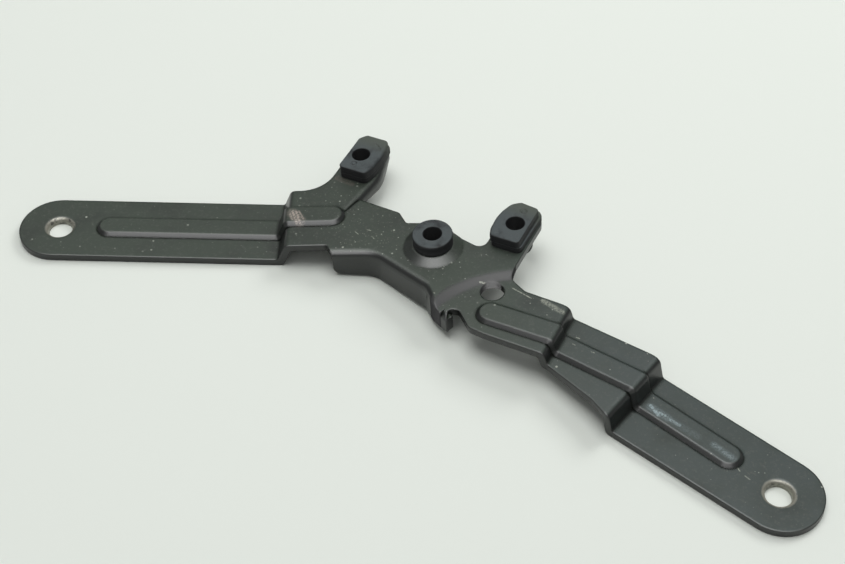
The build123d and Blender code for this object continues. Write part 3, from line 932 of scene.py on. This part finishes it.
        # Painted shade: the creases lose their sheen, so that no highlight shows in them.
        crease_sheen_cut = add_node(tree, "ShaderNodeMix", None, {"Factor": painted_crease_shade}, data_type="RGBA")
        crease_sheen_cut.inputs["A"].default_value = (1.0, 1.0, 1.0, 1.0)
        crease_sheen_cut.inputs["B"].default_value = (0.05, 0.05, 0.05, 1.0)
        tree.links.new(crease_sheen_cut.outputs["Result"], shader.inputs["Specular Tint"])
        dull = largest(tree, ramp(tree, film, 0.0, 1.0, 0.3), painted_crease_shade)
        span = {"From Min": 0.0, "From Max": 1.0, "To Min": self.roughness, "To Max": self.crease_shade_roughness}
        sheen = add_node(tree, "ShaderNodeMapRange", span, {"Value": dull}).outputs["Result"]
        tree.links.new(sheen, shader.inputs["Roughness"])
        # Orange peel of the spray and the fine dust on it: 0.9 mm blobs, drawn coarser than the real ones,
        # which are taken as 0.3 mm, so that they show in the picture.
        bump = add_node(
            tree,
            "ShaderNodeBump",
            {"Strength": 0.25, "Distance": 0.03 * MM},
            {"Height": powder, "Normal": self.softened(tree, plan, rolled)},
        )
        tree.links.new(bump.outputs["Normal"], shader.inputs["Normal"])
        return made


@dataclass(frozen=True)
class DustyRubber:
    """Black natural rubber, moulded, with a matt bloom of bluish dust on the faces that look up.

    The sides and the bore stay nearly black. The tip of each pad is dustier and a little green.

    Attributes:
        name: The material's name.
        centre_mm: Plan place of the mount's bore.
        tip_heading_deg: Heading of the mount's tip, or None when it is round.
    """

    name: str
    centre_mm: tuple[float, float]
    tip_heading_deg: float | None = None
    rubber: str = "#101215"
    bloom: str = "#42494a"
    powder: str = "#5b5e60"
    tip: str = "#474d45"
    roughness: float = 0.7
    gloss: float = 0.35
    cloud_mm: float = 5.0
    powder_mm: float = 0.7

    def material(self) -> bpy.types.Material:
        """Builds the rubber's node material.

        Returns:
            The material.
        """
        made, tree, shader = new_material(self.name)
        place = add_node(tree, "ShaderNodeTexCoord").outputs["Object"]
        normal = add_node(tree, "ShaderNodeNewGeometry").outputs["Normal"]
        upward = add_node(tree, "ShaderNodeSeparateXYZ", None, {"Vector": normal}).outputs["Z"]
        facing_up = ramp(tree, upward, 0.35, 0.97)
        cloud = ramp(tree, grain(tree, place, self.cloud_mm, 3.0, 0.6), 0.2, 0.55)
        powder = grain(tree, place, self.powder_mm, 3.0, 0.7)
        base = add_node(tree, "ShaderNodeMix", None, None, data_type="RGBA")
        tree.links.new(product(tree, facing_up, cloud), base.inputs["Factor"])
        base.inputs["A"].default_value = linear(self.rubber)
        base.inputs["B"].default_value = linear(self.bloom)
        colour = base.outputs["Result"]
        if self.tip_heading_deg is not None:
            heading = math.radians(self.tip_heading_deg)
            way = (math.cos(heading), math.sin(heading), 0.0)
            start = (self.centre_mm[0] * MM, self.centre_mm[1] * MM, 0.0)
            kind = "ShaderNodeVectorMath"
            away = add_node(tree, kind, {1: start}, {0: place}, operation="SUBTRACT").outputs["Vector"]
            along = add_node(tree, kind, {1: way}, {0: away}, operation="DOT_PRODUCT").outputs["Value"]
            reach = ramp(tree, along, 1.0 * MM, 7.5 * MM, 0.9)
            dusty = product(tree, reach, ramp(tree, upward, -0.2, 0.6))
            colour = tinted(tree, colour, self.tip, dusty)
        grey = product(tree, facing_up, ramp(tree, powder, 0.56, 0.8, 0.5))
        colour = tinted(tree, colour, self.powder, grey)
        tree.links.new(colour, shader.inputs["Base Color"])
        shader.inputs["Roughness"].default_value = self.roughness
        shader.inputs["Specular IOR Level"].default_value = self.gloss
        # Grain of the mould's skin: 0.7 mm blobs, drawn coarser than the real ones, which are taken as
        # 0.1 mm, so that they show.
        bump = add_node(
            tree,
            "ShaderNodeBump",
            {"Strength": 0.2, "Distance": 0.04 * MM},
            {"Height": powder},
        )
        tree.links.new(bump.outputs["Normal"], shader.inputs["Normal"])
        return made


@dataclass(frozen=True)
class Studio:
    """Camera, floor and soft light.

    Attributes:
        eye_mm: Camera's place.
        look: Direction that the camera looks along.
        focal_px: Focal length in pixels of the photograph's frame.
        frame_px: Width of the photograph's frame.
        sensor_mm: Width of the camera's sensor.
        floor_colour: Colour of the white table top.
        floor_half_mm: Half the side of the floor.
        aim_mm: Middle of the bracket, where the lamps point.
        sky_strength: Strength of the even sky.
    """

    eye_mm: tuple[float, float, float] = (118.0, -308.2, 317.0)
    look: tuple[float, float, float] = (-0.02093, 0.67655, -0.73610)
    focal_px: float = 1480.0
    frame_px: float = 845.0
    sensor_mm: float = 36.0
    floor_colour: str = "#e1e6df"
    floor_half_mm: float = 6000.0
    aim_mm: tuple[float, float, float] = (110.0, -30.0, 0.0)
    sky_strength: float = 0.31

    def camera(self) -> bpy.types.Object:
        """Adds the camera at the photograph's angle and makes it the scene's camera.

        Returns:
            The camera.
        """
        data = bpy.data.cameras.new("camera")
        data.sensor_fit = "HORIZONTAL"
        data.sensor_width = self.sensor_mm
        data.lens = self.focal_px / self.frame_px * self.sensor_mm
        data.clip_start, data.clip_end = 0.01, 100.0
        eye = bpy.data.objects.new("camera", data)
        bpy.context.scene.collection.objects.link(eye)
        back = -Vector(self.look).normalized()
        right = Vector((0.0, 0.0, 1.0)).cross(back).normalized()
        up = back.cross(right)
        turn = Matrix((right, up, back)).transposed().to_4x4()
        eye.matrix_world = Matrix.Translation(Vector(self.eye_mm) * MM) @ turn
        bpy.context.scene.camera = eye
        return eye

    def floor(self) -> bpy.types.Object:
        """Adds the plain pale table top.

        Returns:
            The table top.
        """
        side = self.floor_half_mm * MM
        mesh = bpy.data.meshes.new("floor")
        corners = [(-side, -side, 0), (side, -side, 0), (side, side, 0), (-side, side, 0)]
        mesh.from_pydata(corners, [], [(0, 1, 2, 3)])
        top = bpy.data.objects.new("floor", mesh)
        bpy.context.scene.collection.objects.link(top)
        material, _, shader = new_material("white_table_top")
        shader.inputs["Base Color"].default_value = linear(self.floor_colour)
        shader.inputs["Roughness"].default_value = 0.9
        shader.inputs["Specular IOR Level"].default_value = 0.2
        mesh.materials.append(material)
        return top

    def area_lamp(
        self,
        name: str,
        place_mm: tuple[float, float, float],
        size_mm: float,
        watts: float,
    ) -> Lamp:
        """Adds a square soft lamp that points at the middle of the bracket.

        Args:
            name: Name of the lamp.
            place_mm: Where it hangs.
            size_mm: Side of the square.
            watts: Its power.

        Returns:
            The lamp.
        """
        data = bpy.data.lights.new(name, "AREA")
        data.shape = "SQUARE"
        data.size = size_mm * MM
        data.energy = watts
        lamp = bpy.data.objects.new(name, data)
        bpy.context.scene.collection.objects.link(lamp)
        lamp.location = Vector(place_mm) * MM
        aim = Vector([axis * MM for axis in self.aim_mm]) - lamp.location
        lamp.rotation_euler = aim.to_track_quat("-Z", "Y").to_euler()
        return lamp

    def light(self) -> None:
        """Adds a soft overhead lamp, one from the right behind, a gloss card and an even sky.

        The card over the camera lights gloss alone, as a white board beside a studio lamp does, and the lamp
        behind lights the colours alone, so that its picture doesn't lie on the deck.
        """
        self.area_lamp("overhead_softbox", (0.0, 100.0, 1100.0), 800.0, 7.0)
        rear = self.area_lamp("rear_softbox", (800.0, 750.0, 850.0), 600.0, 6.8)
        rear.visible_glossy = False
        card = self.area_lamp("gloss_card", (100.0, -450.0, 900.0), 1200.0, 15.5)
        card.visible_diffuse = False
        world = bpy.data.worlds.new("even_sky")
        bpy.context.scene.world = world
        world.use_nodes = True
        sky = world.node_tree.nodes["Background"]
        sky.inputs["Color"].default_value = (1.0, 1.0, 1.0, 1.0)
        sky.inputs["Strength"].default_value = self.sky_strength

    def build(self) -> None:
        """Sets up the camera, the floor and the light."""
        self.camera()
        self.floor()
        self.light()
        bpy.context.scene.view_settings.view_transform = "Standard"


LEFT_PAD = EarPad(
    node="ear_pad_left",
    plan_mm=(-22.5, 34.8),
    top_mm=(
        (8.5, 2.3), (6.3, 4.05), (-7.05, 4.05), (-7.05, -4.9),
        (-4.0, -6.0), (1.0, -6.25), (5.2, -5.9), (8.5, -5.0),
    ),
    top_rounds_mm=(1.2, 1.4, 1.2, 1.6, 6.0, 10.0, 8.0, 1.6),
    skirt_mm=(
        (9.7, 3.2), (7.8, 4.7), (-6.9, 4.4), (-6.9, -4.7),
        (-3.0, -5.9), (3.0, -6.0), (6.5, -5.6), (9.7, -4.9),
    ),
    skirt_rounds_mm=(1.8, 1.6, 1.8, 2.0, 7.0, 8.0, 6.0, 2.0),
    mirrored=False,
    marks=(
        MouldMark((-4.3, 0.2), (-4.3, 0.2), 0.72, 0.5, 0.3),
        MouldMark((5.75, -1.9), (5.2, -3.1), 0.0, 0.55, 0.2),
        MouldMark((5.2, -3.1), (4.25, -4.3), 0.0, 0.55, 0.25),
    ),
)

RIGHT_PAD = EarPad(
    node="ear_pad_right",
    plan_mm=(23.6, 3.8),
    top_mm=(
        (8.5, -1.8), (7.9, 4.05), (-7.05, 4.05), (-7.05, -4.9),
        (-4.0, -6.0), (0.5, -6.25), (4.0, -5.7), (6.8, -4.3),
    ),
    top_rounds_mm=(0.8, 1.2, 1.2, 1.6, 6.0, 9.0, 8.0, 5.0),
    skirt_mm=(
        (9.7, 3.2), (8.2, 4.75), (-6.9, 4.5), (-6.9, -4.7),
        (-3.0, -5.9), (3.0, -6.0), (6.5, -5.6), (9.7, -4.6),
    ),
    skirt_rounds_mm=(1.8, 1.6, 1.8, 2.0, 7.0, 8.0, 6.0, 2.0),
    mirrored=True,
    height_mm=4.72,
    marks=(
        MouldMark((5.3, 0.2), (5.3, 0.2), 0.8, 0.55, 0.3),
        MouldMark((4.8, -3.7), (6.1, -0.9), 0.0, 0.5, 0.2),
    ),
)


def main() -> None:
    """Builds the studio and every piece in order."""
    logging.basicConfig(level=logging.INFO, format="%(name)s: %(message)s")
    Studio().build()
    sheet = PressedSheet().build(SatinBlackEnamel().material())
    LOG.info("%s: %d faces", sheet.name, len(sheet.data.polygons))
    for pad in (LEFT_PAD, RIGHT_PAD):
        lean = math.cos(math.radians(DECK.lean_deg))
        centre = (DECK.centre_mm[0] + pad.plan_mm[0] * lean, DECK.centre_mm[1] + pad.plan_mm[1])
        rubber = DustyRubber(pad.node + "_rubber", centre, pad.heading_deg)
        piece = pad.build(rubber.material())
        LOG.info("%s: %d faces", piece.name, len(piece.data.polygons))
    grommet = CentreGrommet().build(DustyRubber("grommet_rubber", DECK.centre_mm[:2]).material())
    LOG.info("%s: %d faces", grommet.name, len(grommet.data.polygons))


if __name__ == "__main__":
    main()
